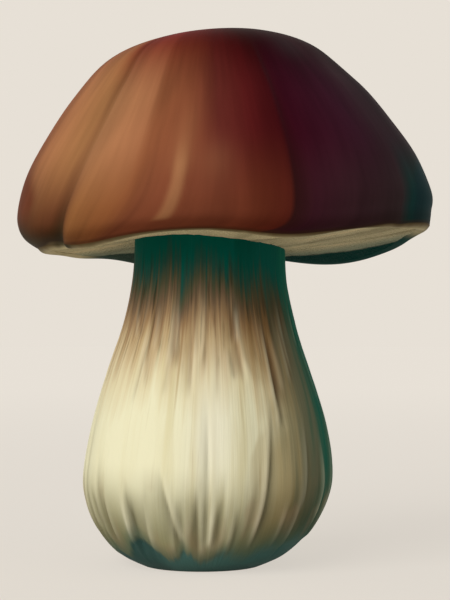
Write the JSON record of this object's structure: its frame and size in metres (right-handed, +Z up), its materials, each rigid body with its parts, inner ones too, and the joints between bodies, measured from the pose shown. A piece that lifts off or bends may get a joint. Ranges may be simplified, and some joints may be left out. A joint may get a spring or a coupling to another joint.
{
  "type": "porcini mushroom",
  "caption": "Whole porcini mushroom: domed brown cap with rolled rim and pore layer on a fat cream stem, standing on its trimmed foot.",
  "frame": {"origin": "middle of the flat foot that the mushroom stands on", "axes": "+Z up the stem to the crown, -Y is the front, +X the side where the rim is raised"},
  "size_m": [0.0994, 0.0999, 0.1294],
  "materials": {
    "flesh": "matt mushroom flesh, one colour for the plain solid",
    "cap_skin": "smooth satin skin, tan to dark maroon brown",
    "pores": "matt sponge, pale olive",
    "stem_skin": "matt fibrous skin, cream with brown and dark green streaks"
  },
  "bodies": {
    "root": {"mushroom": "flesh"}
  },
  "joints": []
}
